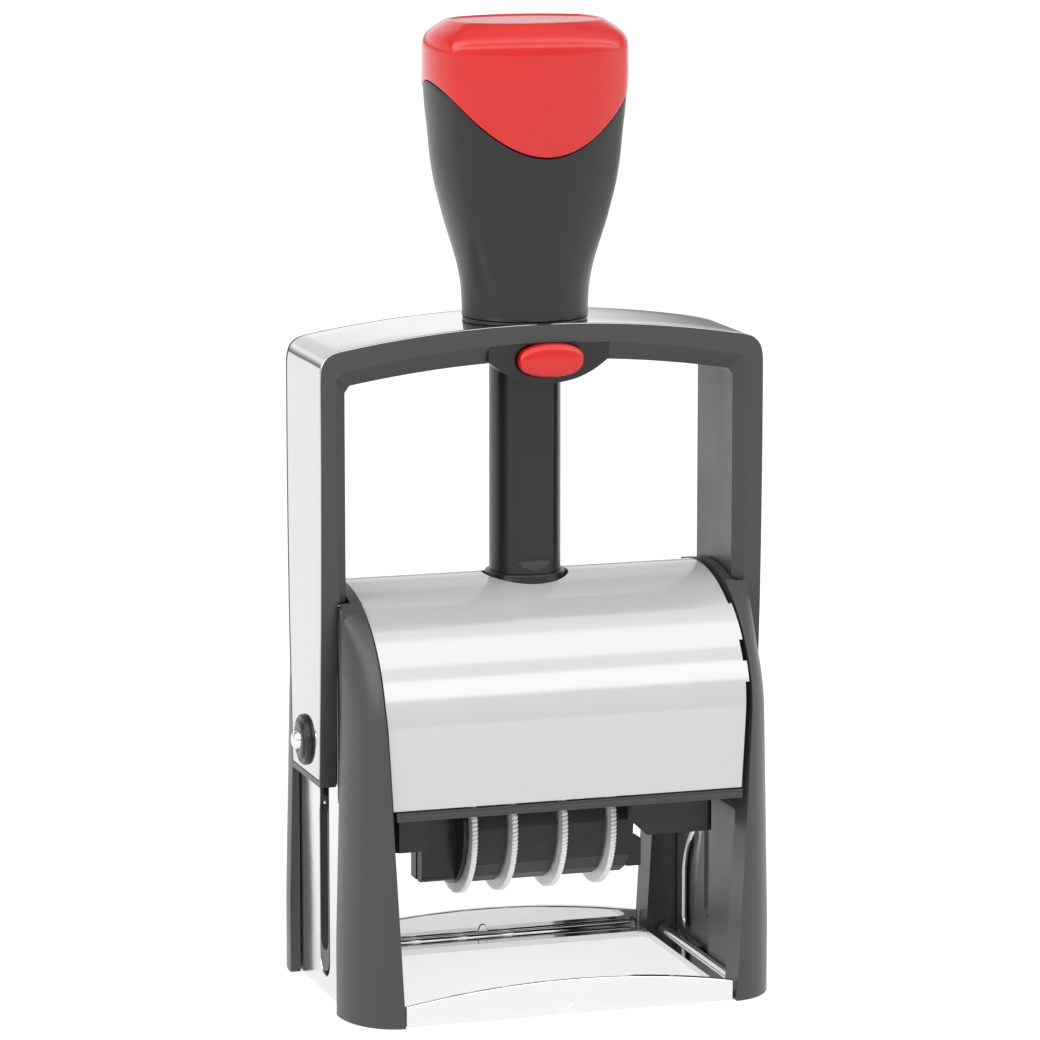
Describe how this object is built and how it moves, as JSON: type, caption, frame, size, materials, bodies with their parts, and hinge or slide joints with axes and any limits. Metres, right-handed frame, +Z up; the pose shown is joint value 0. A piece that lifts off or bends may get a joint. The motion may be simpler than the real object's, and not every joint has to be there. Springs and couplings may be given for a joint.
{
  "type": "self-inking date stamp",
  "caption": "Self-inking rotary date stamp: steel base with a barrel cover, and a chromed yoke with a handle that slides down and turns the print unit over.",
  "frame": {"origin": "centre of the base's underside, on the paper", "axes": "+Z up along the column, X along the print unit's pivot, -Y towards the front, where the lock button is"},
  "size_m": [0.0882, 0.057, 0.1764],
  "materials": {
    "chromed_steel": "bright chrome plating on sheet steel",
    "pearl_steel": "glossy pearl silver",
    "dark_plastic": "satin",
    "black_plastic": "semi-gloss",
    "red_plastic": "glossy",
    "white_plastic": "satin",
    "spring_steel": "plain drawn steel",
    "band_rubber": "matt",
    "stamp_rubber": "matt",
    "pad_felt": "inked felt"
  },
  "bodies": {
    "base": {"base_frame": "chromed_steel", "cheek_right": "dark_plastic", "cheek_left": "dark_plastic", "barrel_cover": "pearl_steel", "front_rim": "dark_plastic", "rear_rim": "dark_plastic", "cross_bridge": "black_plastic", "column": "black_plastic", "column_collar": "black_plastic", "pad_tray": "black_plastic", "ink_pad": "pad_felt", "return_spring": "spring_steel", "bridge_screw_1": "spring_steel", "bridge_screw_2": "spring_steel"},
    "yoke": {"yoke_frame": "dark_plastic", "chrome_band": "chromed_steel", "handle_grip": "dark_plastic", "handle_cap": "red_plastic", "handle_core": "black_plastic", "pivot_pin_right": "chromed_steel", "pivot_pin_left": "chromed_steel", "pivot_boss_right": "black_plastic", "pivot_boss_left": "black_plastic"},
    "lock_button": {"lock_button": "red_plastic"},
    "print_unit": {"print_frame": "black_plastic", "date_bracket": "black_plastic", "wheel_axle": "spring_steel", "plate_mount": "black_plastic", "text_plate": "stamp_rubber", "date_band_1": "band_rubber", "date_band_2": "band_rubber", "date_band_3": "band_rubber", "date_band_4": "band_rubber"},
    "wheel_1": {"thumb_wheel_1": "white_plastic"},
    "wheel_2": {"thumb_wheel_2": "white_plastic"},
    "wheel_3": {"thumb_wheel_3": "white_plastic"},
    "wheel_4": {"thumb_wheel_4": "white_plastic"}
  },
  "joints": [
    {"name": "press", "type": "slide", "parent": "base", "child": "yoke", "axis": [0, 0, -1], "range_m": [0, 0.036], "stiffness_N_per_m": 300, "springref_m": -0.03, "deforming": ["return_spring"]},
    {"name": "flip", "type": "hinge", "parent": "yoke", "child": "print_unit", "pos_m": [0, 0, 0.0474], "axis": [1, 0, 0], "range_deg": [0, 180]},
    {"name": "lock_press", "type": "slide", "parent": "yoke", "child": "lock_button", "axis": [0, 1, 0], "range_m": [0, 0.0015], "stiffness_N_per_m": 400, "springref_m": -0.0015},
    {"name": "wheel_1_turn", "type": "hinge", "parent": "print_unit", "child": "wheel_1", "pos_m": [-0.0136, 0, 0.0305], "axis": [1, 0, 0], "continuous": true},
    {"name": "wheel_2_turn", "type": "hinge", "parent": "print_unit", "child": "wheel_2", "pos_m": [-0.006, 0, 0.0305], "axis": [1, 0, 0], "continuous": true},
    {"name": "wheel_3_turn", "type": "hinge", "parent": "print_unit", "child": "wheel_3", "pos_m": [0.0035, 0, 0.0305], "axis": [1, 0, 0], "continuous": true},
    {"name": "wheel_4_turn", "type": "hinge", "parent": "print_unit", "child": "wheel_4", "pos_m": [0.0128, 0, 0.0305], "axis": [1, 0, 0], "continuous": true}
  ],
  "couplings": [
    {"joint": "flip", "follows": "press", "rad_per_m": 87.26}
  ]
}
